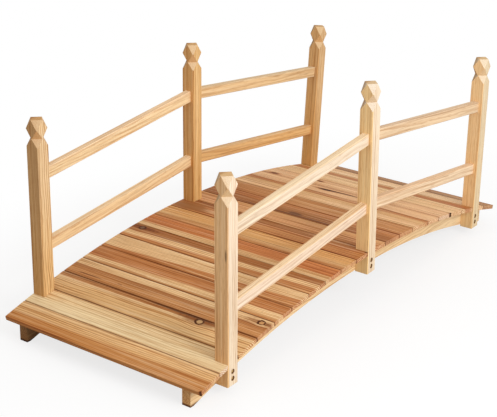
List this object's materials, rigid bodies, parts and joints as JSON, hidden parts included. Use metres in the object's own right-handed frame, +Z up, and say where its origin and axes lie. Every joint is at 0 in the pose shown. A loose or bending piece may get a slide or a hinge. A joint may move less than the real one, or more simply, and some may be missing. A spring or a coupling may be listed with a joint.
{
  "type": "garden moon bridge",
  "caption": "Small arched timber garden bridge with a plank deck, square posts with diamond-cut finials and two rails on each side.",
  "frame": {"origin": "centre of the bridge's bounding box at the level of the ground under its feet", "axes": "+X along the walkway, +Y across it, +Z up"},
  "size_m": [1.523, 0.65, 0.6427],
  "materials": {
    "deck_heartwood": "planed, unfinished",
    "deck_sapwood": "planed, unfinished",
    "stringers": "sawn, unfinished",
    "posts": "planed, unfinished",
    "rails": "planed, unfinished"
  },
  "bodies": {
    "root": {"deck_board_01": "deck_heartwood", "deck_board_02": "deck_sapwood", "deck_board_03": "deck_sapwood", "deck_board_04": "deck_heartwood", "deck_board_05": "deck_sapwood", "deck_board_06": "deck_sapwood", "deck_board_07": "deck_sapwood", "deck_board_08": "deck_heartwood", "deck_board_09": "deck_sapwood", "deck_board_10": "deck_heartwood", "deck_board_11": "deck_sapwood", "deck_board_12": "deck_heartwood", "deck_board_13": "deck_heartwood", "deck_board_14": "deck_sapwood", "deck_board_15": "deck_sapwood", "deck_board_16": "deck_sapwood", "deck_board_17": "deck_sapwood", "deck_board_18": "deck_heartwood", "deck_board_19": "deck_sapwood", "deck_board_20": "deck_sapwood", "stringer_right": "stringers", "stringer_left": "stringers", "post_right_start": "posts", "post_right_middle": "posts", "post_right_end": "posts", "post_left_start": "posts", "post_left_middle": "posts", "post_left_end": "posts", "upper_rail_right_start": "rails", "upper_rail_right_end": "rails", "upper_rail_left_start": "rails", "upper_rail_left_end": "rails", "lower_rail_right_start": "rails", "lower_rail_right_end": "rails", "lower_rail_left_start": "rails", "lower_rail_left_end": "rails"}
  },
  "joints": []
}
